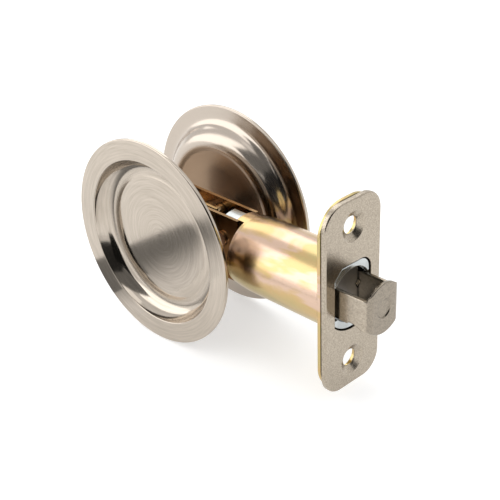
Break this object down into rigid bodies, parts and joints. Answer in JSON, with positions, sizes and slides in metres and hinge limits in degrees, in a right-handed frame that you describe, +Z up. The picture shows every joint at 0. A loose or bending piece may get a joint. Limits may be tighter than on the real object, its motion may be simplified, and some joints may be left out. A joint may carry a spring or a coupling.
{
  "type": "sliding door lock",
  "caption": "Round recessed finger cups on both faces of a sliding pocket door, joined through a tubular edge latch with a faceplate and a sprung pull.",
  "frame": {"origin": "where the common axis of the two cups crosses the axis of the latch tube", "axes": "+X along the latch tube towards the faceplate, +Y from the near cup to the far cup, +Z up along the faceplate"},
  "size_m": [0.1054, 0.0348, 0.0636],
  "materials": {
    "satin_nickel": "satin nickel plate, brushed in rings on the cups",
    "yellow_zinc": "glossy yellow zinc plate with pink and green tints",
    "bright_zinc": "bright bluish zinc die casting",
    "dull_zinc": "dull grey zinc die casting",
    "plain_steel": "plain zinc plated steel",
    "spring_steel": "drawn spring wire and strip"
  },
  "bodies": {
    "latch": {"near_cup": "satin_nickel", "far_cup": "satin_nickel", "near_sleeve": "plain_steel", "far_stud": "plain_steel", "faceplate": "satin_nickel", "backing_plate": "yellow_zinc", "latch_tube": "yellow_zinc", "front_guide": "bright_zinc", "rear_plug": "bright_zinc", "near_arm": "yellow_zinc", "far_arm": "yellow_zinc", "hub_plate": "yellow_zinc", "fork_rivets": "yellow_zinc", "catch_pin": "yellow_zinc", "catch_spring": "spring_steel", "return_spring": "spring_steel"},
    "pull": {"edge_pull": "satin_nickel", "pull_carrier": "dull_zinc", "slide_tail": "plain_steel", "tail_pin": "plain_steel"},
    "catch": {"catch_lever": "plain_steel"}
  },
  "joints": [
    {"name": "pull_slide", "type": "slide", "parent": "latch", "child": "pull", "axis": [1, 0, 0], "range_m": [-0.0107, 0], "stiffness_N_per_m": 150, "springref_m": 0.01, "deforming": ["return_spring"]},
    {"name": "catch_swing", "type": "hinge", "parent": "latch", "child": "catch", "pos_m": [0.0169, 0, 0.0026], "axis": [0, 1, 0], "range_deg": [-8.2, 0], "deforming": ["catch_spring"]}
  ],
  "couplings": [
    {"joint": "catch_swing", "follows": "pull_slide", "rad_per_m": 13.33}
  ]
}
